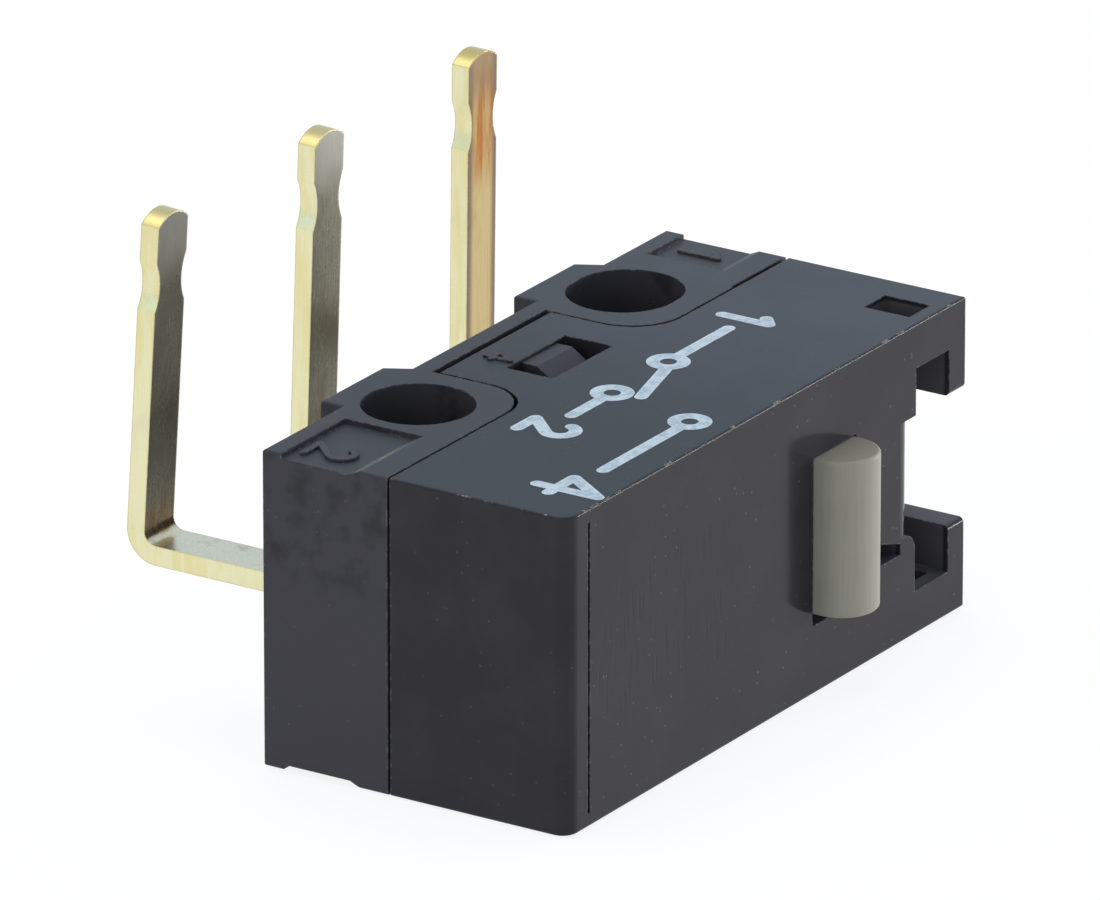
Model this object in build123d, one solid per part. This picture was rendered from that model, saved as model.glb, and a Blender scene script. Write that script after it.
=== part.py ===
from build123d import *

import os

# Ultra-subminiature snap-action switch with a pin plunger and terminals bent to one side.
# Frame: it rests on its broad side, Z = 0. X runs along its length, from the normally closed end
# to the common end, -Y is the plunger side, +Y the terminal side, and the origin lies midway
# between the two mounting holes.

# Housing, millimetres
BODY_LENGTH = 12.8
THICKNESS = 5.8
MID_Z = THICKNESS / 2
NEAR_END = -6.48
FAR_END = NEAR_END + BODY_LENGTH
PLUNGER_FACE = -5.12
SEAM = -1.5
SEAM_GAP = 0.05
WIDE_SEAM_X = 4.5
WIDE_SEAM_STEP = 0.04
RIM = 1.05
BOSS_FOOT = 1.5
EDGE_ROUND = 0.05
NEAR_CORNER_ROUND = 0.3
ARM_CORNER_ROUND = 0.1

# Mounting holes and the bosses outside them
HOLE_RADIUS = 1.0
HOLE_HALF_PITCH = 3.25
FAR_HOLE_STRETCH = 0.18
BOSS_START = (-4.01, 2.09)
BOSS_WIDTH = 1.92
BOSS_SLOPE = 0.25

# Marking pockets at the ends of the base
POCKET_DEPTH = 0.1
POCKET_TOP_Y = 0.68
POCKET_LOW_Y = -0.7
POCKET_RAMP = 0.22
NEAR_POCKET_X = -4.5
FAR_POCKET_X = 5.12

# Cover tongues that reach over the base, and their latch windows and teeth
SKIN = 0.45
TONGUE_NEAR_X = -1.81
TONGUE_FAR_X = 1.8
TONGUE_TIP_Y = 0.52
TONGUE_RECESS_Y = 0.66
TONGUE_CORNER = 1.0
TONGUE_ROOT = 0.1
WINDOW_X = (-0.96, 0.93)
WINDOW_Y = (-1.27, -0.31)
TOOTH_X = (-0.47, 0.66)
TOOTH_CREST_Y = (-0.62, -0.31)
TOOTH_FOOT_Y = -1.22
TOOTH_SINK = 0.06

# Inside of the cover
SIDE_WALL = 0.55
END_WALL = 0.55
CEILING = 0.7
LOCATING_LIP_HEIGHT = 0.4
LOCATING_LIP_WALL = 0.32
LIP_GAP = 0.03

# Lever-hinge notch at the far end of the cover
HINGE_POCKET_X = (4.7, 5.8)
HINGE_POCKET_Z = (0.82, 4.97)
NOTCH_Z = (1.68, 4.1)
NOTCH_FLOOR = -3.75
NOTCH_CEILING = 0.48
WEB_ROUND = 0.5
POST_TOP = 1.95
POST_ROUND = 0.34
EAR_HOLE_X = (4.91, 5.6)
EAR_HOLE_Y = (-4.84, -3.92)
SIDE_SLOT_Z = (1.66, 2.08)
SIDE_SLOT_BEND_X = 3.5
SIDE_SLOT_END = (4.22, 1.86)
SIDE_SLOT_DEPTH = 0.55

# Fine groove beside the near corner
GROOVE_X = -5.83
GROOVE_WIDTH = 0.06
GROOVE_DEPTH = 0.1
GROOVE_END_MARGIN = 0.25

# Plunger
PLUNGER_X = 2.03
PLUNGER_WIDTH = 1.34
PLUNGER_Z = (1.48, 4.37)
PLUNGER_CREST = -5.94
PLUNGER_TRAVEL = 0.6
PLUNGER_EDGE_ROUND = 0.06
PLUNGER_CLEARANCE = 0.03
SLOT_Z = (1.28, 4.39)
FLANGE_REACH_X = 0.32
FLANGE_REACH_Z = 0.42
FLANGE_HEIGHT = 0.42
FOOT_LENGTH_Z = 0.62
FOOT_WIDTH_X = 0.7

# Terminals, one stamped strip each
STRIP = 0.36
STRIP_Z = 2.93
LEG_WIDTH = 0.9
PITCH = 5.08
BEND_INNER = 0.22
LEG_OUTER_Y = 4.5
TIP_CROWN = 0.18
WAIST_DEPTH = 0.12
WAIST_START = 0.66
WAIST_LENGTH = 0.9
# For each leg: how far the bend passes square in degrees, its shoulder height, and its outer face
NEAR_LEG = (3.6, 8.94, LEG_OUTER_Y)
MIDDLE_LEG = (2.05, 8.83, LEG_OUTER_Y)
FAR_LEG = (0.7, 8.73, LEG_OUTER_Y)

# Inner strips of the terminals
FLOOR = SEAM + SEAM_GAP / 2
ARM_HEIGHT = 0.4
ARM_TOP = FLOOR - ARM_HEIGHT
TAB_HALF_Z = 0.5
CONTACT_X = -4.65
CONTACT_RADIUS = 0.45
CONTACT_GAP = 0.5
FIXED_CONTACT = 0.25
MOVING_CONTACT = 0.6

# Snap-action blade, one stamped spring
BLADE = 0.08
BLADE_HALF_Z = 1.5
SIDE_MEMBER = 0.62
TONGUE_HALF_Z = 0.45
PIVOT_X = 4.88
ANCHOR_BAR = 0.34
BLADE_END_X = -5.18
WINDOW_START_X = -3.55
SPRING_TONGUE_ROOT_X = -3.2
SPRING_TONGUE_TIP_X = 1.5
SPRING_TONGUE_DROP = 0.42

NO_FACE = ARM_TOP - FIXED_CONTACT
NC_FACE = NO_FACE - CONTACT_GAP - MOVING_CONTACT
PIVOT_Y = (NO_FACE + NC_FACE) / 2
REST_DEGREES = 1.4


def block(x, y, z):
    """A box from pairs of limits."""
    size = [limits[1] - limits[0] for limits in (x, y, z)]
    centre = [(limits[0] + limits[1]) / 2 for limits in (x, y, z)]
    return Pos(*centre) * Box(*size)


def both_sides(upper):
    """A form on the upper skin together with its mirror image on the lower one."""
    return upper + mirror(upper, about=Plane.XY.offset(MID_Z))


def plate(outline, z):
    """An outline in the XY plane, made solid between two heights."""
    return Pos(0, 0, z[0]) * extrude(outline, amount=z[1] - z[0])


def base_outline():
    """The base seen from above: a bar with two feet outside the mounting holes."""
    points = [(NEAR_END, FLOOR), (NEAR_END, RIM)]
    for start in BOSS_START:
        end = start + BOSS_WIDTH
        points += [(start, RIM), (start, BOSS_FOOT), (end, BOSS_FOOT), (end + BOSS_SLOPE, RIM)]
    points += [(FAR_END, RIM), (FAR_END, FLOOR)]
    return make_face(Polyline(*points, close=True))


def tongue_outline(side_gap, tip_y):
    """The tongue's plan, which flares out where it leaves the cover."""
    corner = TONGUE_CORNER
    left = TONGUE_NEAR_X + side_gap
    right = TONGUE_FAR_X - side_gap
    start = FLOOR - side_gap
    root = start - TONGUE_ROOT
    half = corner * (1 - 0.5**0.5)
    edges = [
        Line((left - corner, start), (left - corner, root)),
        Line((left - corner, root), (right + corner, root)),
        Line((right + corner, root), (right + corner, start)),
        ThreePointArc((right + corner, start), (right + half, start + half), (right, start + corner)),
        Line((right, start + corner), (right, tip_y)),
        Line((right, tip_y), (left, tip_y)),
        Line((left, tip_y), (left, start + corner)),
        ThreePointArc((left, start + corner), (left - half, start + half), (left - corner, start)),
    ]
    return make_face(edges)


def make_base(terminals):
    body = plate(base_outline(), (0, THICKNESS))
    corners = [edge for edge in body.edges() if abs(edge.center().Z - MID_Z) > 1]
    outer = [edge for edge in corners if edge.center().Y > FLOOR + 0.01]
    body = fillet(outer, EDGE_ROUND)
    recess = tongue_outline(0, TONGUE_RECESS_Y)
    body -= both_sides(plate(recess, (THICKNESS - SKIN, THICKNESS + 1)))
    body += both_sides(latch_tooth())
    body -= both_sides(marking_pocket(NEAR_END - 1, NEAR_POCKET_X))
    body -= both_sides(marking_pocket(FAR_POCKET_X, FAR_END + 1))
    body -= both_sides(wide_seam())
    body += locating_lip()
    near_hole = Pos(-HOLE_HALF_PITCH, 0) * Circle(HOLE_RADIUS)
    far_hole = Pos(HOLE_HALF_PITCH + FAR_HOLE_STRETCH / 2, 0) * SlotCenterToCenter(
        FAR_HOLE_STRETCH, 2 * HOLE_RADIUS
    )
    body -= plate(near_hole + far_hole, (-1, THICKNESS + 1))
    for terminal in terminals:
        body -= terminal
    return body


def latch_tooth():
    """A wedge that the cover's tongue rides over and then drops behind."""
    floor = THICKNESS - SKIN
    crest = THICKNESS - TOOTH_SINK
    side = Polyline(
        (TOOTH_FOOT_Y, floor - 0.1),
        (TOOTH_FOOT_Y, floor),
        (TOOTH_CREST_Y[0], crest),
        (TOOTH_CREST_Y[1], crest),
        (TOOTH_CREST_Y[1], floor - 0.1),
        close=True,
    )
    wedge = extrude(Plane.YZ * make_face(side), amount=TOOTH_X[1] - TOOTH_X[0])
    return Pos(TOOTH_X[0], 0, 0) * wedge


def marking_pocket(x0, x1):
    """A shallow pocket that is open to the end face and ramps up towards the seam."""
    floor = THICKNESS - POCKET_DEPTH
    side = Polyline(
        (POCKET_TOP_Y, floor),
        (POCKET_TOP_Y, THICKNESS + 0.2),
        (POCKET_LOW_Y - POCKET_RAMP, THICKNESS + 0.2),
        (POCKET_LOW_Y - POCKET_RAMP, THICKNESS),
        (POCKET_LOW_Y, floor),
        close=True,
    )
    return Pos(x0, 0, 0) * extrude(Plane.YZ * make_face(side), amount=x1 - x0)


def wide_seam():
    """A slight step back of the base's rim, which widens the seam at the far end."""
    y = (FLOOR - 0.5, FLOOR + WIDE_SEAM_STEP)
    return block((WIDE_SEAM_X, FAR_END + 1), y, (THICKNESS - SKIN, THICKNESS + 1))


def locating_lip():
    """A low wall on the base that centres the cover."""
    x = (NEAR_END + END_WALL + LIP_GAP, FAR_END - END_WALL - LIP_GAP)
    z = (SIDE_WALL + LIP_GAP, THICKNESS - SIDE_WALL - LIP_GAP)
    y = (FLOOR - LOCATING_LIP_HEIGHT, FLOOR)
    wall = LOCATING_LIP_WALL
    inside = block((x[0] + wall, x[1] - wall), (y[0] - 1, y[1]), (z[0] + wall, z[1] - wall))
    return block(x, y, z) - inside


def make_cover():
    top = SEAM - SEAM_GAP / 2
    shell = block((NEAR_END, FAR_END), (PLUNGER_FACE, top), (0, THICKNESS))
    near_corner = shell.edges().filter_by(Axis.Z).sort_by(Axis.X)[:2].sort_by(Axis.Y)[0]
    shell = fillet(near_corner, NEAR_CORNER_ROUND)
    rims = [edge for edge in shell.edges() if edge.center().Y < top - 0.01]
    shell = fillet([edge for edge in rims if abs(edge.center().Z - MID_Z) > 1], EDGE_ROUND)
    tongue = tongue_outline(SEAM_GAP, TONGUE_TIP_Y)
    shell += both_sides(plate(tongue, (THICKNESS - SKIN, THICKNESS)))
    window = block(WINDOW_X, WINDOW_Y, (THICKNESS - SKIN, THICKNESS))
    shell -= both_sides(window)
    shell -= cavity(top)
    shell -= plunger_slot()
    shell -= hinge_notch()
    shell = fillet(notch_arm_corners(shell), ARM_CORNER_ROUND)
    shell -= near_groove()
    return shell


def cavity(top):
    """The room inside, lower at the far end where the hinge notch takes its space."""
    z = (SIDE_WALL, THICKNESS - SIDE_WALL)
    tall = (NEAR_END + END_WALL, HINGE_POCKET_X[0] - END_WALL)
    low = (NEAR_END + END_WALL, FAR_END - END_WALL)
    room = block(tall, (PLUNGER_FACE + CEILING, top), z)
    return room + block(low, (NOTCH_FLOOR + NOTCH_CEILING, top), z)


def plunger_slot():
    """The plunger's opening, and the shallow slot beside it that narrows to its end."""
    half = PLUNGER_WIDTH / 2 + PLUNGER_CLEARANCE
    x = (PLUNGER_X - half, PLUNGER_X + half)
    y = (PLUNGER_FACE - 1, PLUNGER_FACE + CEILING + 0.01)
    start_x = x[1] - 0.1
    end_x, end_z = SIDE_SLOT_END
    side = Polyline(
        (start_x, SIDE_SLOT_Z[0]),
        (end_x, SIDE_SLOT_Z[0]),
        (end_x, end_z),
        (SIDE_SLOT_BEND_X, SIDE_SLOT_Z[1]),
        (start_x, SIDE_SLOT_Z[1]),
        close=True,
    )
    floor = Plane.XZ.offset(-PLUNGER_FACE - SIDE_SLOT_DEPTH)
    side_slot = extrude(floor * make_face(side), amount=SIDE_SLOT_DEPTH + 1)
    return block(x, y, SLOT_Z) + side_slot


def hinge_notch():
    """The cut that takes a lever's hinge: a mouth to the end face and a pocket for each ear."""
    y = (PLUNGER_FACE - 1, NOTCH_FLOOR)
    pocket = block(HINGE_POCKET_X, y, HINGE_POCKET_Z)
    mouth = block((HINGE_POCKET_X[0], FAR_END + 1), y, NOTCH_Z)
    ear_hole = block(EAR_HOLE_X, EAR_HOLE_Y, (-1, THICKNESS + 1))
    return pocket + mouth + ear_hole + web_rounding()


def notch_arm_corners(shell):
    """The corners where the end wall's two arms meet the mouth of the notch."""
    crosswise = shell.edges().filter_by(Axis.X)
    outer = [edge for edge in crosswise if edge.center().X > HINGE_POCKET_X[1]]
    mouth = [edge for edge in outer if NOTCH_Z[0] - 0.01 < edge.center().Z < NOTCH_Z[1] + 0.01]
    return [edge for edge in mouth if abs(edge.center().Y - PLUNGER_FACE) < 0.01]


def web_rounding():
    """Rounds the middle web's edge into the notch, but not the post below it."""
    edge_x = HINGE_POCKET_X[0]
    x = (edge_x - WEB_ROUND, edge_x)
    y = (PLUNGER_FACE, PLUNGER_FACE + WEB_ROUND)
    z = (NOTCH_Z[0], NOTCH_Z[1])
    height = z[1] - z[0]
    corner = block(x, (y[0] - 1, y[1]), z)
    corner -= Pos(x[0], y[1], (z[0] + z[1]) / 2) * Cylinder(WEB_ROUND, height)
    post = block((x[0] - 1, x[1]), (y[0] - 1, y[1] + 1), (z[0] - 1, POST_TOP))
    post = fillet(post.edges().filter_by(Axis.Y).sort_by(Axis.X)[-2:].sort_by(Axis.Z)[-1], POST_ROUND)
    return corner - post


def near_groove():
    x = (GROOVE_X - GROOVE_WIDTH / 2, GROOVE_X + GROOVE_WIDTH / 2)
    y = (PLUNGER_FACE - 1, PLUNGER_FACE + GROOVE_DEPTH)
    return block(x, y, (GROOVE_END_MARGIN, THICKNESS - GROOVE_END_MARGIN))


def make_plunger():
    """A round-nosed bar with a flange that keeps it in, and two feet that press the blade."""
    half = PLUNGER_WIDTH / 2
    shoulder = PLUNGER_CREST + half
    flange_top = PLUNGER_FACE + CEILING + 0.01
    flange_low = flange_top + FLANGE_HEIGHT
    left, right = PLUNGER_X - half, PLUNGER_X + half
    section = make_face(
        [
            Line((left, flange_low), (left, shoulder)),
            ThreePointArc((left, shoulder), (PLUNGER_X, PLUNGER_CREST), (right, shoulder)),
            Line((right, shoulder), (right, flange_low)),
            Line((right, flange_low), (left, flange_low)),
        ]
    )
    z = PLUNGER_Z
    bar = plate(section, z)
    nose = [edge for edge in bar.edges() if edge.center().Y < shoulder and edge.geom_type == GeomType.CIRCLE]
    bar = fillet(nose, PLUNGER_EDGE_ROUND)
    flange = block(
        (left - FLANGE_REACH_X, right + FLANGE_REACH_X),
        (flange_top, flange_low),
        (z[0] - FLANGE_REACH_Z, z[1] + FLANGE_REACH_Z),
    )
    foot_x = (PLUNGER_X - FOOT_WIDTH_X / 2, PLUNGER_X + FOOT_WIDTH_X / 2)
    foot_y = (flange_low - 0.1, PIVOT_Y - PLUNGER_TRAVEL)
    foot = block(foot_x, foot_y, (z[0], z[0] + FOOT_LENGTH_Z))
    nose_edges = foot.edges().filter_by(Axis.Z).sort_by(Axis.Y)[-2:]
    foot = fillet(nose_edges, FOOT_WIDTH_X / 3)
    other_foot = Pos(0, 0, z[1] - z[0] - FOOT_LENGTH_Z) * foot
    return bar + flange + foot + other_foot


def outer_leg(x, leg):
    """The part of a terminal outside the base: out, round the bend and up to a waisted tip."""
    lean, shoulder_z, outer_y = leg
    z = (STRIP_Z - STRIP / 2, STRIP_Z + STRIP / 2)
    bend_y = outer_y - BEND_INNER - STRIP
    bend_z = z[1] + BEND_INNER
    straight = block((x - LEG_WIDTH / 2, x + LEG_WIDTH / 2), (RIM - 0.2, bend_y), z)
    section = Plane.XZ.offset(-bend_y) * Pos(x, STRIP_Z) * Rectangle(LEG_WIDTH, STRIP)
    bend = revolve(section, Axis((x, bend_y, bend_z), (1, 0, 0)), 90 + lean)
    upright = Plane.XZ * leg_outline(shoulder_z - bend_z)
    upright = extrude(upright, amount=STRIP / 2, both=True)
    upright = Pos(0, BEND_INNER + STRIP / 2, 0) * upright
    upright = Pos(x, bend_y, bend_z) * Rot(lean, 0, 0) * upright
    return straight + bend + upright


def leg_outline(shoulder):
    """The upright's outline: straight sides, a waist, and a slightly crowned end."""
    half = LEG_WIDTH / 2
    waist_top = shoulder - WAIST_START
    waist_low = waist_top - WAIST_LENGTH
    waist_mid = (waist_top + waist_low) / 2
    narrow = half - WAIST_DEPTH
    edges = [
        Line((-half, 0), (half, 0)),
        Line((half, 0), (half, waist_low)),
        ThreePointArc((half, waist_low), (narrow, waist_mid), (half, waist_top)),
        Line((half, waist_top), (half, shoulder)),
        ThreePointArc((half, shoulder), (0, shoulder + TIP_CROWN), (-half, shoulder)),
        Line((-half, shoulder), (-half, waist_top)),
        ThreePointArc((-half, waist_top), (-narrow, waist_mid), (-half, waist_low)),
        Line((-half, waist_low), (-half, 0)),
    ]
    return make_face(edges)


def inner_strip(points):
    """The flat part of a terminal that is moulded into the base and reaches inside."""
    return plate(make_face(Polyline(*points, close=True)), (STRIP_Z - STRIP / 2, STRIP_Z + STRIP / 2))


def contact_tab(y):
    """A tab folded square to the strip, which carries a fixed contact."""
    x = (CONTACT_X - CONTACT_RADIUS, CONTACT_X + CONTACT_RADIUS)
    return block(x, y, (STRIP_Z - TAB_HALF_Z, STRIP_Z + TAB_HALF_Z))


def make_normally_closed_terminal():
    half = LEG_WIDTH / 2
    left, right = -PITCH - half, -PITCH + half
    arm = (NC_FACE - FIXED_CONTACT - ARM_HEIGHT, NC_FACE - FIXED_CONTACT)
    post_x = (-5.83, -5.43)
    points = [
        (left, RIM),
        (left, -0.55),
        (post_x[0], -0.95),
        (post_x[0], arm[0]),
        (CONTACT_X + CONTACT_RADIUS, arm[0]),
        (CONTACT_X + CONTACT_RADIUS, arm[1]),
        (post_x[1], arm[1]),
        (post_x[1], -1.25),
        (right, -0.75),
        (right, RIM),
    ]
    return inner_strip(points) + contact_tab(arm) + outer_leg(-PITCH, NEAR_LEG)


def make_normally_open_terminal():
    half = LEG_WIDTH / 2
    end = CONTACT_X - CONTACT_RADIUS
    points = [(-half, RIM), (-half, FLOOR), (end, FLOOR), (end, ARM_TOP), (half, ARM_TOP), (half, RIM)]
    return inner_strip(points) + contact_tab((ARM_TOP, FLOOR)) + outer_leg(0, MIDDLE_LEG)


def make_common_terminal():
    """Carries the blade: a hooked post for its anchor bar and a short one for its inner tongue."""
    half = LEG_WIDTH / 2
    left, right = PITCH - half, PITCH + half
    post_x = (PIVOT_X - 0.42, PIVOT_X + 0.08)
    hook_y = PIVOT_Y - 0.36
    prop_x = (1.44, 1.94)
    prop_y = tongue_tip_y()
    prop_top = prop_y - 0.3
    points = [
        (right, RIM),
        (right, ARM_TOP),
        (post_x[1], ARM_TOP),
        (post_x[1], PIVOT_Y + 0.16),
        (PIVOT_X - 0.06, PIVOT_Y + 0.06),
        (PIVOT_X - 0.06, PIVOT_Y - 0.06),
        (post_x[1], PIVOT_Y - 0.16),
        (post_x[1], hook_y),
        (post_x[0], hook_y),
        (post_x[0], ARM_TOP),
        (prop_x[1], ARM_TOP),
        (prop_x[1], prop_top),
        (prop_x[0], prop_top),
        (prop_x[0], prop_y - 0.2),
        (prop_x[0] + 0.2, prop_y),
        (prop_x[0], prop_y + 0.2),
        (prop_x[0], FLOOR),
        (left, FLOOR),
        (left, RIM),
    ]
    return inner_strip(points) + outer_leg(PITCH, FAR_LEG)


def tongue_tip_y():
    """Where the free end of the blade's inner tongue stands, halfway through its movement."""
    return PIVOT_Y + SPRING_TONGUE_DROP


def make_blade():
    """One stamped spring: a frame in tension round a bowed tongue in compression."""
    z = (MID_Z - BLADE_HALF_Z, MID_Z + BLADE_HALF_Z)
    y = (PIVOT_Y - BLADE / 2, PIVOT_Y + BLADE / 2)
    bar_x = (PIVOT_X - 0.03, PIVOT_X + ANCHOR_BAR)
    frame = block((BLADE_END_X, bar_x[1]), y, z)
    gap = (z[0] + SIDE_MEMBER, z[1] - SIDE_MEMBER)
    frame -= block((WINDOW_START_X, bar_x[0]), (y[0] - 1, y[1] + 1), gap)
    nose_corners = frame.edges().filter_by(Axis.Y).sort_by(Axis.X)[:2]
    frame = fillet(nose_corners, 0.5)
    frame -= Pos(CONTACT_X, PIVOT_Y, MID_Z) * Rot(90, 0, 0) * Cylinder(0.22, 1)
    return turned(frame + spring_tongue())


def spring_tongue():
    """The inner tongue, bowed from its root near the contact to its tip on the common terminal."""
    tip = (SPRING_TONGUE_TIP_X, tongue_tip_y())
    middle = ((SPRING_TONGUE_ROOT_X + tip[0]) / 2, PIVOT_Y + 0.42 * SPRING_TONGUE_DROP + 0.18)
    lift = BLADE / 2
    root_x = WINDOW_START_X - 0.05
    bow = [
        Line((root_x, PIVOT_Y - lift), (SPRING_TONGUE_ROOT_X, PIVOT_Y - lift)),
        ThreePointArc(
            (SPRING_TONGUE_ROOT_X, PIVOT_Y - lift), (middle[0], middle[1] - lift), (tip[0], tip[1] - lift)
        ),
        Line((tip[0], tip[1] - lift), (tip[0], tip[1] + lift)),
        ThreePointArc(
            (tip[0], tip[1] + lift), (middle[0], middle[1] + lift), (SPRING_TONGUE_ROOT_X, PIVOT_Y + lift)
        ),
        Line((SPRING_TONGUE_ROOT_X, PIVOT_Y + lift), (root_x, PIVOT_Y + lift)),
        Line((root_x, PIVOT_Y + lift), (root_x, PIVOT_Y - lift)),
    ]
    return plate(make_face(bow), (MID_Z - TONGUE_HALF_Z, MID_Z + TONGUE_HALF_Z))


def turned(shape):
    """A form of the blade, turned about its anchor so that the contact stands closed at rest."""
    pivot = Pos(PIVOT_X, PIVOT_Y, 0)
    return pivot * Rot(0, 0, REST_DEGREES) * pivot.inverse() * shape


def make_moving_contact():
    """A two-faced rivet through the blade's nose."""
    reach = MOVING_CONTACT / 2
    head = Cylinder(CONTACT_RADIUS, reach - BLADE / 2)
    offset = (reach + BLADE / 2) / 2
    rivet = Pos(0, 0, offset) * head + Pos(0, 0, -offset) * head + Cylinder(0.22, BLADE)
    rims = [edge for edge in rivet.edges() if abs(abs(edge.center().Z) - reach) < 0.01]
    rivet = fillet(rims, 0.08)
    return turned(Pos(CONTACT_X, PIVOT_Y, MID_Z) * Rot(90, 0, 0) * rivet)


def make_fixed_contact(y):
    """A short bar of contact tape welded across a tab."""
    x = (CONTACT_X - CONTACT_RADIUS + 0.05, CONTACT_X + CONTACT_RADIUS - 0.05)
    return block(x, y, (STRIP_Z - TAB_HALF_Z + 0.05, STRIP_Z + TAB_HALF_Z - 0.05))


def main():
    normally_closed = make_normally_closed_terminal()
    normally_open = make_normally_open_terminal()
    common = make_common_terminal()
    parts = {
        "base": make_base([normally_closed, normally_open, common]),
        "cover": make_cover(),
        "plunger": make_plunger(),
        "normally_closed_terminal": normally_closed,
        "normally_open_terminal": normally_open,
        "common_terminal": common,
        "snap_spring_blade": make_blade(),
        "moving_contact": make_moving_contact(),
        "normally_closed_contact": make_fixed_contact((NC_FACE - FIXED_CONTACT, NC_FACE)),
        "normally_open_contact": make_fixed_contact((NO_FACE, NO_FACE + FIXED_CONTACT)),
    }
    os.makedirs("parts", exist_ok=True)
    for name, shape in parts.items():
        export_step(shape, f"parts/{name}.step")


main()
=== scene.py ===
import math

import bmesh
import bpy
from mathutils import Matrix, Vector, noise
from mathutils.geometry import delaunay_2d_cdt


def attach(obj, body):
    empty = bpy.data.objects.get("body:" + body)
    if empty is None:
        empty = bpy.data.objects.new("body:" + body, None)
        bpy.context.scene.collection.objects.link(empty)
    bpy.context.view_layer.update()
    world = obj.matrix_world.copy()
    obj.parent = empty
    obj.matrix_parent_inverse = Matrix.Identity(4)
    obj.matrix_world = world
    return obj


MM = 0.001

# The viewpoint, in millimetres of the row frame
VIEW_TURN = math.radians(57.25)
VIEW_RISE = math.radians(21.0)
VIEW_CENTRE = (-0.1, -1.92, 2.9)
VIEW_SHIFT = (-1.065, 1.3465)
VIEW_DISTANCE = 300.0
LENS = 568.8
SENSOR = 36.0

# Places on the switch, in millimetres of the row frame
THICKNESS = 5.8
FACE_Y = -5.12
NEAR_END_X = -6.48
FAR_END_X = 6.32
NOTCH_X = 4.11
NOTCH_BACK_Y = -3.0
POCKET_FLOOR = 5.7
PITCH = 5.08

# The flash's section, in millimetres over the face and above it, and how its crest swells
FLASH_CREST = (0.03, -0.03)
FLASH_SECTION = ((0.08, -0.008), FLASH_CREST, (0.008, -0.075))
FLASH_SWELL = (-0.03, 0.057)
FLASH_STEP = 0.04

# Lettering
INSIDE_OUTLINES = 1
JOIN_TOLERANCE = 1e-4
PEN_END_STEPS = 8
RING_STEPS = 24

# The floor and the lamps, in millimetres
FLOOR_REACH = 600
FLOOR_DROP = 0.03
LAMP_AIM = (0, -1.9, 2.9)

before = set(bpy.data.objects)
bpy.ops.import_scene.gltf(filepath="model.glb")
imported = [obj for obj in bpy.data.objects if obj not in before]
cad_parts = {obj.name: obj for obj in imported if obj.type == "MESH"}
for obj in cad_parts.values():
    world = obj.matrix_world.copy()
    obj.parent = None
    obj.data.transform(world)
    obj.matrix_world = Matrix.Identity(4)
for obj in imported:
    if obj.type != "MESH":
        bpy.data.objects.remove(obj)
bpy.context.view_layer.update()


def camera_axes():
    """Right, up and back of the camera."""
    level = math.cos(VIEW_RISE)
    back = Vector((-math.sin(VIEW_TURN) * level, -math.cos(VIEW_TURN) * level, math.sin(VIEW_RISE)))
    right = Vector((math.cos(VIEW_TURN), -math.sin(VIEW_TURN), 0))
    return right, back.cross(right), back


def add_camera():
    """The photograph's viewpoint, far off with a long lens."""
    right, up, back = camera_axes()
    aim = Vector(VIEW_CENTRE) + right * VIEW_SHIFT[0] + up * VIEW_SHIFT[1]
    data = bpy.data.cameras.new("photo_camera")
    data.lens = LENS
    data.sensor_width = SENSOR
    data.clip_start = 0.01
    data.clip_end = 10
    camera = bpy.data.objects.new("photo_camera", data)
    bpy.context.scene.collection.objects.link(camera)
    turn = Matrix((right, up, back)).transposed().to_4x4()
    camera.matrix_world = Matrix.Translation((aim + back * VIEW_DISTANCE) * MM) @ turn
    bpy.context.scene.camera = camera


class Value:
    """A socket that takes part in sums."""

    def __init__(self, nodes, socket):
        self.nodes = nodes
        self.socket = socket

    def __add__(self, other):
        return self.nodes.math("ADD", self, other)

    def __sub__(self, other):
        return self.nodes.math("SUBTRACT", self, other)

    def __rsub__(self, other):
        return self.nodes.math("SUBTRACT", other, self)

    def __mul__(self, other):
        return self.nodes.math("MULTIPLY", self, other)

    def __abs__(self):
        return self.nodes.math("ABSOLUTE", self)

    __radd__ = __add__
    __rmul__ = __mul__


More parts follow.
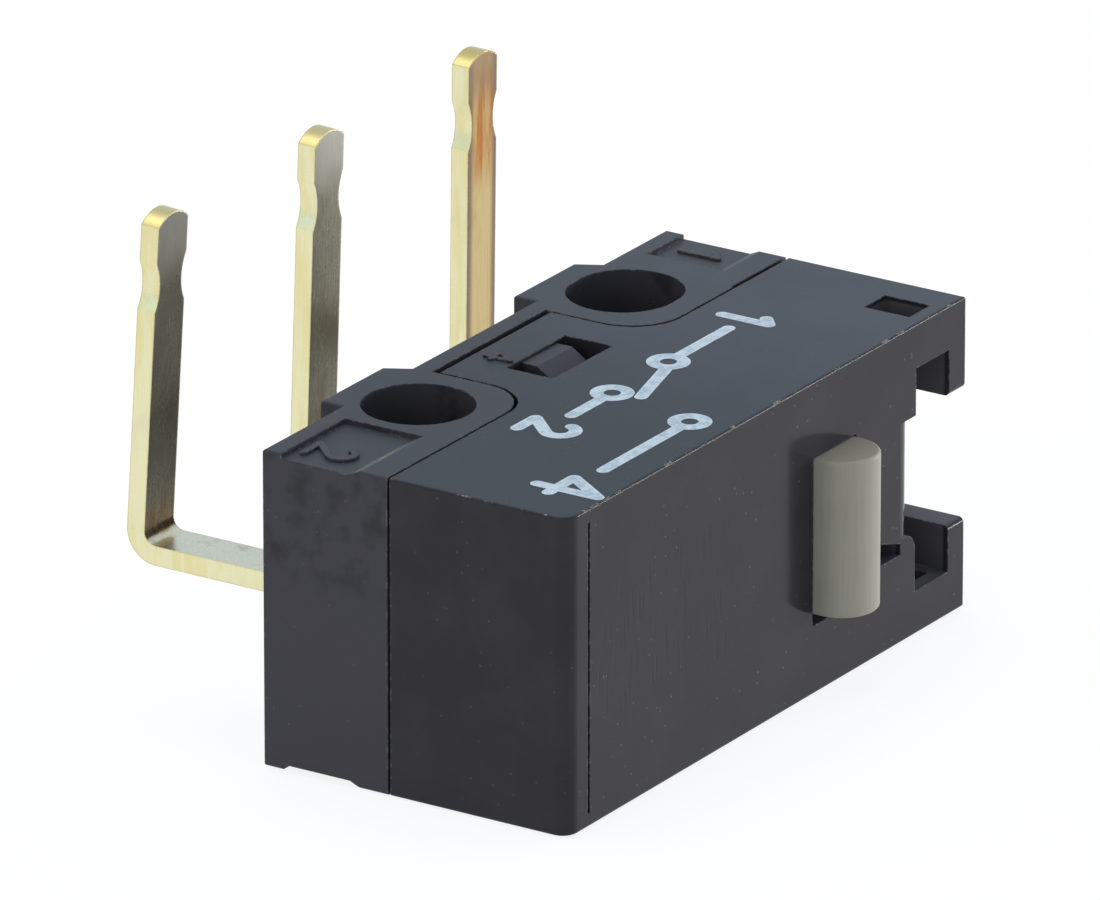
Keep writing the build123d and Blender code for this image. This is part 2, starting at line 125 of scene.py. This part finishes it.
class Nodes:
    """Builds the node tree of a material or of the world."""

    def __init__(self, owner, shader, output):
        owner.use_nodes = True
        self.owner = owner
        self.tree = owner.node_tree
        self.tree.nodes.clear()
        self.output = self.tree.nodes.new(output)
        self.shader = self.tree.nodes.new(shader)
        self.tree.links.new(self.shader.outputs[0], self.output.inputs["Surface"])

    def set_socket(self, socket, value):
        """Links a value to the socket, or sets a plain one on it."""
        if isinstance(value, Value):
            self.tree.links.new(value.socket, socket)
        else:
            socket.default_value = value

    def add(self, kind, settings=None, out=0, **inputs):
        """Any node: its settings are set first, then its sockets. Returns one of its outputs.

        A socket goes by its name, with _ for a space, or by i and its place in the row.
        """
        node = self.tree.nodes.new(kind)
        for key, value in (settings or {}).items():
            setattr(node, key, value)
        for key, value in inputs.items():
            numbered = key[0] == "i" and key[1:].isdigit()
            self.set_socket(node.inputs[int(key[1:]) if numbered else key.replace("_", " ")], value)
        return Value(self, node.outputs[out])

    def math(self, operation, *values):
        sockets = {f"i{index}": value for index, value in enumerate(values)}
        return self.add("ShaderNodeMath", {"operation": operation}, **sockets)

    def vector(self, operation, *values, out=0):
        sockets = {f"i{index}": value for index, value in enumerate(values)}
        return self.add("ShaderNodeVectorMath", {"operation": operation}, out, **sockets)

    def part_of(self, vector, name):
        """One component of a vector."""
        return self.add("ShaderNodeSeparateXYZ", out=name, Vector=vector)

    def place(self):
        """The point's place on the object, in millimetres."""
        return self.vector("MULTIPLY", self.add("ShaderNodeTexCoord", out="Object"), [1 / MM] * 3)

    def axis(self, name):
        """One coordinate of the point in millimetres."""
        return self.part_of(self.place(), name)

    def normal(self):
        return self.add("ShaderNodeNewGeometry", out="Normal")

    def facing(self, name):
        """One component of the surface's normal."""
        return self.part_of(self.normal(), name)

    def noise(self, size, detail=2, rough=0.5, stretch=(1, 1, 1), shift=0.0):
        """Noise from 0 to 1, with spots about size millimetres across."""
        spot = self.vector("MULTIPLY", self.place(), [s / size for s in stretch])
        spot = self.vector("ADD", spot, [shift] * 3)
        return self.add("ShaderNodeTexNoise", Vector=spot, Scale=1.0, Detail=detail, Roughness=rough)

    def specks(self, spacing, radius, shift=0.0):
        """Scattered round specks: spacing and radius in millimetres."""
        spot = self.vector("MULTIPLY", self.place(), [1 / spacing] * 3)
        spot = self.vector("ADD", spot, [shift] * 3)
        reach = self.add("ShaderNodeTexVoronoi", Vector=spot, Scale=1.0)
        return self.ramp(reach, radius / spacing, radius / spacing * 0.5)

    def ramp(self, value, low, high):
        """0 at low, 1 at high, smooth between. Low may be the larger of the two."""
        settings = {"interpolation_type": "SMOOTHSTEP", "clamp": True}
        return self.add("ShaderNodeMapRange", settings, i0=value, i1=low, i2=high)

    def band(self, value, low, high, soft):
        """1 between low and high, fading over soft outside them."""
        return self.ramp(value, low - soft, low) * self.ramp(value, high + soft, high)

    def mix(self, factor, one, two):
        """Colour one where factor is 0, colour two where it is 1."""
        return self.add("ShaderNodeMix", {"data_type": "RGBA"}, 2, i0=factor, i6=one, i7=two)

    def rounded(self, reach):
        """The normal as if the edges were rounded over reach millimetres."""
        return self.add("ShaderNodeBevel", {"samples": 4}, Radius=reach * MM)

    def near_edge(self, reach, low=0.01, high=0.2):
        """Where an edge lies within reach millimetres."""
        level = self.vector("DOT_PRODUCT", self.rounded(reach), self.normal(), out="Value")
        return self.ramp(1 - level, low, high)

    def bump(self, height, depth, normal):
        """A bump whose height of 1 stands for depth millimetres, over another normal."""
        return self.add("ShaderNodeBump", Height=height, Strength=1.0, Distance=depth * MM, Normal=normal)

    def wire(self, **inputs):
        """Sets or links sockets of the shader."""
        for key, value in inputs.items():
            self.set_socket(self.shader.inputs[key.replace("_", " ")], value)


def new_material(name):
    return Nodes(bpy.data.materials.new(name), "ShaderNodeBsdfPrincipled", "ShaderNodeOutputMaterial")


def screen(red, green, blue):
    """A colour as shown on screen, 0 to 255 each, made linear."""
    out = []
    for part in (red, green, blue):
        part = part / 255
        out.append(part / 12.92 if part <= 0.04045 else ((part + 0.055) / 1.055) ** 2.4)
    return (*out, 1)


def plunger_side(n):
    """The broad face that the plunger comes out of."""
    return n.ramp(n.facing("Y"), -0.9, -0.99)


def drag_marks(n):
    """Short upright marks that the mould has dragged on the plunger side."""
    lines = n.ramp(n.noise(0.09, 2, 0.5, (1, 1, 0.12), 11.0), 0.54, 0.7)
    field = n.band(n.axis("X"), -5.3, -1.6, 0.8) * n.band(n.axis("Z"), 1.9, 4.0, 0.5)
    return lines * field * plunger_side(n)


def end_smudges(n):
    """Dark smudges high on the base's near end."""
    blots = n.ramp(n.noise(0.5, 2, 0.5, shift=9.0), 0.44, 0.7)
    return blots * n.ramp(n.axis("Z"), 2.9, 4.2) * n.ramp(n.facing("X"), -0.9, -0.99)


def notch_painted_fill(n):
    """Painted fill light: where a pale colour lightens the walls inside the hinge notch."""
    x, y = n.axis("X"), n.axis("Y")
    along = n.ramp(x, NOTCH_X - 0.03, NOTCH_X + 0.03) * n.ramp(x, FAR_END_X - 0.01, FAR_END_X - 0.03)
    inward = n.ramp(y, FACE_Y + 0.06, FACE_Y + 0.14) * n.ramp(y, NOTCH_BACK_Y + 0.2, NOTCH_BACK_Y)
    return along * inward * n.band(n.axis("Z"), 0.1, THICKNESS - 0.1, 0.05)


def charcoal_plastic(name, colour, broad, rough, marks):
    """Dark glossy moulding: grain, clouds, dust, burrs along its edges, painted fill light in the notch.

    Its broad sides are duller, with a paler, bluish colour of their own that is painted sheen, paler
    still towards the far end.
    """
    n = new_material(name)
    grain = n.noise(0.06, 3, 0.6)
    cloud = n.noise(1.6, 3, 0.6)
    # Painted sheen: faces that look up or down get a paler bluish colour, paler still towards the far end
    flat = n.ramp(abs(n.facing("Z")), 0.75, 0.97)
    sheen_towards_far_end = n.ramp(n.axis("X"), -4.0, 6.0) * 0.8
    base = n.mix(flat, colour, n.mix(sheen_towards_far_end, broad, screen(84, 86, 93)))
    base = n.mix(n.ramp(cloud, 0.35, 0.75) * 0.25, base, screen(66, 64, 70))
    dust = n.specks(0.24, 0.03) * n.ramp(n.noise(1.3, 2, shift=7.0), 0.42, 0.58)
    base = n.mix(dust * (0.12 + plunger_side(n) * 0.16), base, screen(150, 150, 152))
    # Painted fill light: a pale colour lightens the walls inside the hinge notch
    base = n.mix(notch_painted_fill(n) * (0.6 + cloud * 0.4), base, screen(96, 92, 96))
    chipped = n.ramp(n.noise(0.13, 3, 0.7, shift=3.0), 0.5, 0.62)
    edge = n.near_edge(0.06)
    base = n.mix(edge * chipped * 0.7, base, screen(150, 143, 132))
    mark = marks(n)
    base = n.mix(mark * 0.5, base, screen(30, 29, 31))
    n.wire(Base_Color=base, IOR=1.28)
    n.wire(Roughness=rough + flat * 0.36 + grain * 0.05 + cloud * 0.04 + edge * 0.35)
    n.wire(Normal=n.bump(grain * 0.2 - mark * 0.35, 0.003, n.rounded(0.03)))
    return n.owner


def flash_plastic(name):
    """The pale torn skin of plastic that the mould leaves along an edge."""
    n = new_material(name)
    torn = n.ramp(n.noise(0.09, 3, 0.7), 0.42, 0.62)
    base = n.mix(torn, screen(62, 60, 62), screen(156, 148, 136))
    n.wire(Base_Color=base, Roughness=0.5 + torn * 0.2, IOR=1.4)
    n.wire(Normal=n.bump(torn, 0.004, n.normal()))
    return n.owner


def button_plastic(name):
    """Pale warm grey moulding with fine drag lines along its length."""
    n = new_material(name)
    drag = n.noise(0.05, 3, 0.6, (1, 1, 0.03))
    cloud = n.noise(0.9, 3)
    base = n.mix(n.ramp(cloud, 0.3, 0.75) * 0.5, screen(168, 161, 145), screen(160, 153, 137))
    base = n.mix(n.ramp(drag, 0.35, 0.7) * 0.2, base, screen(186, 179, 162))
    speck = n.specks(0.5, 0.03, 4.0) * n.ramp(n.noise(1.1, 2, shift=2.0), 0.5, 0.6)
    base = n.mix(speck * 0.6, base, screen(92, 88, 78))
    n.wire(Base_Color=base, Roughness=0.42 + drag * 0.12, IOR=1.45)
    n.wire(Normal=n.bump(drag, 0.002, n.rounded(0.04)))
    return n.owner


def gold_plating(name, broad, tarnish, tip, stain, stained, border_shade):
    """Plated strip: bright gold on its cut sides, duller on its rolled broad sides.

    A stain lies between two heights, the tip is dull, and the last argument sets how much painted shade
    darkens the broad sides' long edges.
    """
    n = new_material(name)
    roll = n.noise(0.05, 3, 0.6, (1, 1, 0.05))
    cloud = n.noise(0.5, 4, 0.6, (1, 1, 0.5))
    streak = n.ramp(n.noise(0.2, 3, 0.6, (1, 1, 0.12), 4.0), 0.42, 0.66)
    flat = n.ramp(abs(n.facing("X")), 0.6, 0.35)
    side = n.ramp(abs(n.facing("Y")), 0.6, 0.85)
    height = n.axis("Z")
    top = n.ramp(height, 7.7, 8.5)
    base = n.mix(flat, screen(232, 227, 186), broad)
    base = n.mix(streak * (1 - flat) * 0.4, base, screen(222, 206, 124))
    base = n.mix(n.ramp(cloud, 0.5, 0.75) * (0.1 + flat * 0.45), base, tarnish)
    base = n.mix(n.ramp(roll, 0.45, 0.75) * flat * 0.3, base, tarnish)
    base = n.mix(n.band(height, *stained, 0.8) * side * (0.3 + streak * 0.6), base, stain)
    # Painted shade: the broad sides darken along their long edges
    across = abs(n.math("WRAP", n.axis("X"), PITCH / 2, -PITCH / 2))
    base = n.mix(n.ramp(across, 0.24, 0.4) * side * border_shade, base, screen(114, 98, 92))
    base = n.mix(top * side * 0.65, base, tip)
    crown = n.ramp(height, 8.2, 8.5) * n.ramp(n.facing("Z"), 0.25, 0.6)
    base = n.mix(crown * 0.8, base, screen(206, 184, 112))
    # Painted highlight: a lighter gold along every edge
    rim = n.near_edge(0.06)
    base = n.mix(rim * 0.5, base, screen(226, 206, 132))
    rough = 0.17 + cloud * 0.12 + roll * 0.08 + top * side * 0.1 + rim * 0.1
    n.wire(Base_Color=base, Metallic=1.0, Roughness=rough)
    n.wire(Normal=n.bump(roll * 0.6 + cloud * 0.4, 0.002, n.rounded(0.04)))
    return n.owner


def near_pin_plating():
    """Grey gold with a brown tarnish, for the near and the middle pin."""
    return gold_plating(
        "near_pin_plating",
        broad=screen(214, 208, 186),
        tarnish=screen(150, 134, 104),
        tip=screen(178, 176, 168),
        stain=screen(188, 140, 66),
        stained=(0.9, 3.4),
        border_shade=0.0,
    )


def far_pin_plating():
    """Warm gold with an orange stain at the neck and painted shade along its borders, for the far pin."""
    return gold_plating(
        "far_pin_plating",
        broad=screen(200, 178, 128),
        tarnish=screen(174, 138, 72),
        tip=screen(128, 112, 92),
        stain=screen(176, 100, 16),
        stained=(7.0, 8.4),
        border_shade=0.85,
    )


def rolled_alloy(name, colour, tarnish):
    """Bright rolled copper alloy or silver, with lines along its length."""
    n = new_material(name)
    roll = n.noise(0.05, 3, 0.6, (0.05, 1, 1))
    cloud = n.noise(0.6, 4, 0.6)
    base = n.mix(n.ramp(cloud, 0.45, 0.75) * 0.5, colour, tarnish)
    n.wire(Base_Color=base, Metallic=1.0, Roughness=0.22 + roll * 0.14)
    n.wire(Normal=n.bump(roll, 0.002, n.rounded(0.02)))
    return n.owner


def pad_ink(name):
    """White pad-printed ink, thin and bluish inside its strokes."""
    n = new_material(name)
    thin = n.ramp(n.noise(0.22, 3, 0.7), 0.4, 0.62)
    fleck = n.ramp(n.noise(0.07, 2, 0.6, shift=5.0), 0.6, 0.75)
    base = n.mix(thin * 0.6, screen(226, 238, 246), screen(170, 192, 208))
    base = n.mix(fleck * 0.5, base, screen(120, 136, 148))
    base = n.mix(n.near_edge(0.06, 0.02, 0.3) * 0.8, base, screen(255, 255, 255))
    n.wire(Base_Color=base, Roughness=0.5 + thin * 0.2)
    n.wire(Normal=n.bump(thin, 0.003, n.normal()))
    return n.owner


def cover_with(material, *nodes):
    """Gives solids of the CAD their material."""
    for node in nodes:
        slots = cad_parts[node].data.materials
        slots.clear()
        slots.append(material)


def dress_solids():
    """Covers every solid, and returns the plastics of the base and the cover."""
    # The second colour of each plastic is the painted sheen of its faces that look up or down
    case = charcoal_plastic("case_plastic", screen(46, 43, 48), screen(54, 60, 67), 0.09, drag_marks)
    base = charcoal_plastic("base_plastic", screen(68, 65, 70), screen(69, 71, 77), 0.12, end_smudges)
    cover_with(case, "cover")
    cover_with(base, "base")
    cover_with(button_plastic("plunger_plastic"), "plunger")
    cover_with(near_pin_plating(), "normally_closed_terminal", "normally_open_terminal")
    cover_with(far_pin_plating(), "common_terminal")
    copper = rolled_alloy("blade_alloy", screen(215, 172, 120), screen(160, 110, 70))
    cover_with(copper, "snap_spring_blade")
    silver = rolled_alloy("contact_silver", screen(222, 222, 216), screen(160, 160, 152))
    cover_with(silver, "moving_contact", "normally_closed_contact", "normally_open_contact")
    return base, case


def link_form(name, form, material):
    """Turns a form into an object of the scene."""
    mesh = bpy.data.meshes.new(name)
    form.to_mesh(mesh)
    form.free()
    mesh.materials.append(material)
    piece = bpy.data.objects.new(name, mesh)
    bpy.context.scene.collection.objects.link(piece)
    return piece


def add_piece(name, form, material):
    """A finished form that rides on the housing."""
    bmesh.ops.recalc_face_normals(form, faces=form.faces)
    piece = link_form(name, form, material)
    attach(piece, "housing")


def arc(centre, radius, first, last, steps):
    """Points along an arc, its angles in degrees."""
    points = []
    for step in range(steps + 1):
        angle = math.radians(first + (last - first) * step / steps)
        points.append((centre[0] + radius * math.cos(angle), centre[1] + radius * math.sin(angle)))
    return points


# Pen lines of each numeral, which is 1 high with its middle at the origin
NUMERALS = {
    "1": [[(-0.2, 0.3), (0.04, 0.5), (0.04, -0.5)]],
    "2": [arc((0, 0.22), 0.28, 165, -38, 9) + [(-0.3, -0.5), (0.32, -0.5)]],
    "4": [[(0.14, -0.5), (0.14, 0.5), (-0.32, -0.18), (0.34, -0.18)]],
}


def numeral(digit, centre, height):
    """Pen lines of a numeral read along -X, with its top towards the plunger side."""
    lines = []
    for line in NUMERALS[digit]:
        lines.append([(centre[0] - x * height, centre[1] - y * height) for x, y in line])
    return lines


def pen_outlines(line, width):
    """The round-ended outline of each straight stretch of a pen line."""
    outlines = []
    for start, end in zip(line, line[1:]):
        along = math.degrees(math.atan2(end[1] - start[1], end[0] - start[0]))
        outline = arc(end, width / 2, along - 90, along + 90, PEN_END_STEPS)
        outline += arc(start, width / 2, along + 90, along + 270, PEN_END_STEPS)
        outlines.append(outline)
    return outlines


def raise_outline(form, height):
    """Gives a flat outline its thickness."""
    grown = bmesh.ops.extrude_face_region(form, geom=form.faces[:])
    top = [item for item in grown["geom"] if isinstance(item, bmesh.types.BMVert)]
    bmesh.ops.translate(form, verts=top, vec=(0, 0, height * MM))


def add_lines(name, lines, width, level, height, material):
    """Pen lines standing height above level, joined into one shape where they cross."""
    corners = []
    outlines = []
    for line in lines:
        for outline in pen_outlines(line, width):
            outlines.append(list(range(len(corners), len(corners) + len(outline))))
            corners += [Vector(corner) for corner in outline]
    joined = delaunay_2d_cdt(corners, [], outlines, INSIDE_OUTLINES, JOIN_TOLERANCE)
    points, faces, covers = joined[0], joined[2], joined[5]
    form = bmesh.new()
    verts = [form.verts.new((point.x * MM, point.y * MM, level * MM)) for point in points]
    for face, covered in zip(faces, covers):
        if covered:
            form.faces.new([verts[index] for index in face])
    stray = [vert for vert in form.verts if not vert.link_faces]
    bmesh.ops.delete(form, geom=stray, context="VERTS")
    raise_outline(form, height)
    add_piece(name, form, material)


def add_flash(name, start, along, over, steps, material):
    """A thin line of moulding flash with a ragged crest, along an upper edge.

    It starts at start and runs along the edge. The direction over points from there over the face.
    """
    over = Vector((*over, 0))
    form = bmesh.new()
    for across, rise in FLASH_SECTION:
        form.verts.new((Vector((*start, THICKNESS + rise)) + over * across) * MM)
    form.faces.new(form.verts[:])
    section = form.verts[:] + form.edges[:] + form.faces[:]
    step = Vector((*along, 0)) * FLASH_STEP * MM
    bmesh.ops.spin(form, geom=section, axis=(0, 0, 1), dvec=step, angle=0, steps=steps)
    level = (THICKNESS + FLASH_CREST[1]) * MM
    for vert in form.verts:
        if abs(vert.co.z - level) < 0.01 * MM:
            x, y = (vert.co / MM - over * FLASH_CREST[0]).xy
            swell = noise.noise(Vector((x, y, 0.6)) * 4) + noise.noise(Vector((x, y, 0.3)) * 19) * 0.8
            swell = min(max(swell + 0.12, 0), 1)
            vert.co += (over * FLASH_SWELL[0] + Vector((0, 0, FLASH_SWELL[1]))) * swell * MM
    add_piece(name, form, material)


def add_edge_flash(material):
    """Flash where the photographed edges are ragged: along the cover's two open upper edges."""
    add_flash("face_edge_flash", (-6.18, FACE_Y), (1, 0), (0, 1), 310, material)
    add_flash("near_end_flash", (NEAR_END_X, -4.82), (0, 1), (1, 0), 82, material)


def add_pin_numbers(base, case):
    """Raised contact numbers beside the terminals, on the base and on the cover's tongue."""
    pen, tongue_pen = 0.13, 0.091
    rise, tongue_rise = 0.06, 0.04
    add_lines("raised_number_2", numeral("2", (-5.83, 0.05), 0.84), pen, POCKET_FLOOR, rise, base)
    number = numeral("4", (-0.62, 0.03), 0.52)
    add_lines("raised_number_4", number, tongue_pen, THICKNESS, tongue_rise, case)
    add_lines("raised_number_1", numeral("1", (5.75, -0.02), 0.76), pen, POCKET_FLOOR, rise, base)


def add_diagram(ink):
    """The printed changeover diagram: the common contact, the blade and the two it moves between."""
    height = 0.008
    pen = 0.235
    ring = 0.27
    common, closed, opened = (0.8, -2.5), (-1.0, -2.5), (-1.45, -4.36)
    lines = [arc(centre, ring, 0, 360, RING_STEPS) for centre in (common, closed, opened)]
    lines.append([(2.75, common[1]), (common[0] + ring, common[1])])
    lines.append([(common[0] - 0.24, common[1] - 0.13), (closed[0] + 0.1, closed[1] - 0.52)])
    lines.append([(closed[0] - ring, closed[1]), (-2.3, closed[1])])
    lines.append([(opened[0] - ring, opened[1]), (-4.2, opened[1])])
    add_lines("contact_diagram", lines, pen, THICKNESS, height, ink)
    add_lines("printed_number_1", numeral("1", (3.3, -2.52), 0.95), pen, THICKNESS, height, ink)
    add_lines("printed_number_2", numeral("2", (-3.0, -2.52), 0.95), pen, THICKNESS, height, ink)
    add_lines("printed_number_4", numeral("4", (-5.15, -4.36), 1.22), pen, THICKNESS, height, ink)


def seen_directly(n):
    """1 for rays from the camera and for gloss, which both see the surround white."""
    camera = n.add("ShaderNodeLightPath", out="Is Camera Ray")
    gloss = n.add("ShaderNodeLightPath", out="Is Glossy Ray")
    return n.math("MAXIMUM", camera, gloss)


def add_floor():
    """A pale floor that keeps the shadow, white to the camera and clear from below."""
    form = bmesh.new()
    bmesh.ops.create_grid(form, x_segments=1, y_segments=1, size=FLOOR_REACH * MM)
    bmesh.ops.translate(form, verts=form.verts, vec=(0, 0, -FLOOR_DROP * MM))
    n = new_material("pale_floor")
    n.wire(Base_Color=(0.93, 0.93, 0.93, 1), Roughness=1.0, Specular_IOR_Level=0.0)
    matt = Value(n, n.shader.outputs[0])
    glow = n.add("ShaderNodeEmission", Color=(1, 1, 1, 1), Strength=1.15)
    above = n.add("ShaderNodeMixShader", i0=seen_directly(n) * 0.74, i1=matt, i2=glow)
    below = n.add("ShaderNodeBsdfTransparent")
    under = n.add("ShaderNodeNewGeometry", out="Backfacing")
    surface = n.add("ShaderNodeMixShader", i0=under, i1=above, i2=below)
    n.set_socket(n.output.inputs["Surface"], surface)
    floor = link_form("floor", form, n.owner)


def add_surround():
    """White to the camera, a little cooler to everything else, and dim overhead to matt surfaces."""
    world = bpy.data.worlds.new("studio")
    bpy.context.scene.world = world
    n = Nodes(world, "ShaderNodeBackground", "ShaderNodeOutputWorld")
    camera = n.add("ShaderNodeLightPath", out="Is Camera Ray")
    tint = n.mix(camera, (0.76, 0.88, 1, 1), (1, 1, 1, 1))
    rise = n.part_of(n.add("ShaderNodeTexCoord", out="Generated"), "Z")
    matt = n.add("ShaderNodeMapRange", i0=rise, i1=0.0, i2=0.8, i3=0.95, i4=0.35)
    strength = n.add("ShaderNodeMix", {"data_type": "FLOAT"}, i0=seen_directly(n), i2=matt, i3=1.0)
    n.wire(Color=tint, Strength=strength)


def add_light(name, place, energy, width, height):
    """An oblong soft light, its place and size in millimetres."""
    data = bpy.data.lights.new(name, "AREA")
    data.energy = energy
    data.shape = "RECTANGLE"
    data.size = width * MM
    data.size_y = height * MM
    lamp = bpy.data.objects.new(name, data)
    bpy.context.scene.collection.objects.link(lamp)
    lamp.location = Vector(place) * MM
    aim = Vector(LAMP_AIM) - Vector(place)
    lamp.rotation_euler = aim.to_track_quat("-Z", "Y").to_euler()


def add_lights():
    add_light("soft_top", (10, 20, 150), 0.06, 120, 120)
    add_light("low_right", (168, -109, 8), 0.26, 120, 36)
    add_light("soft_left", (-120, 10, 60), 0.02, 90, 90)


add_camera()
plastics = dress_solids()
add_pin_numbers(*plastics)
add_diagram(pad_ink("printed_ink"))
add_edge_flash(flash_plastic("edge_flash_plastic"))
add_floor()
add_surround()
add_lights()
bpy.context.scene.view_settings.view_transform = "Standard"
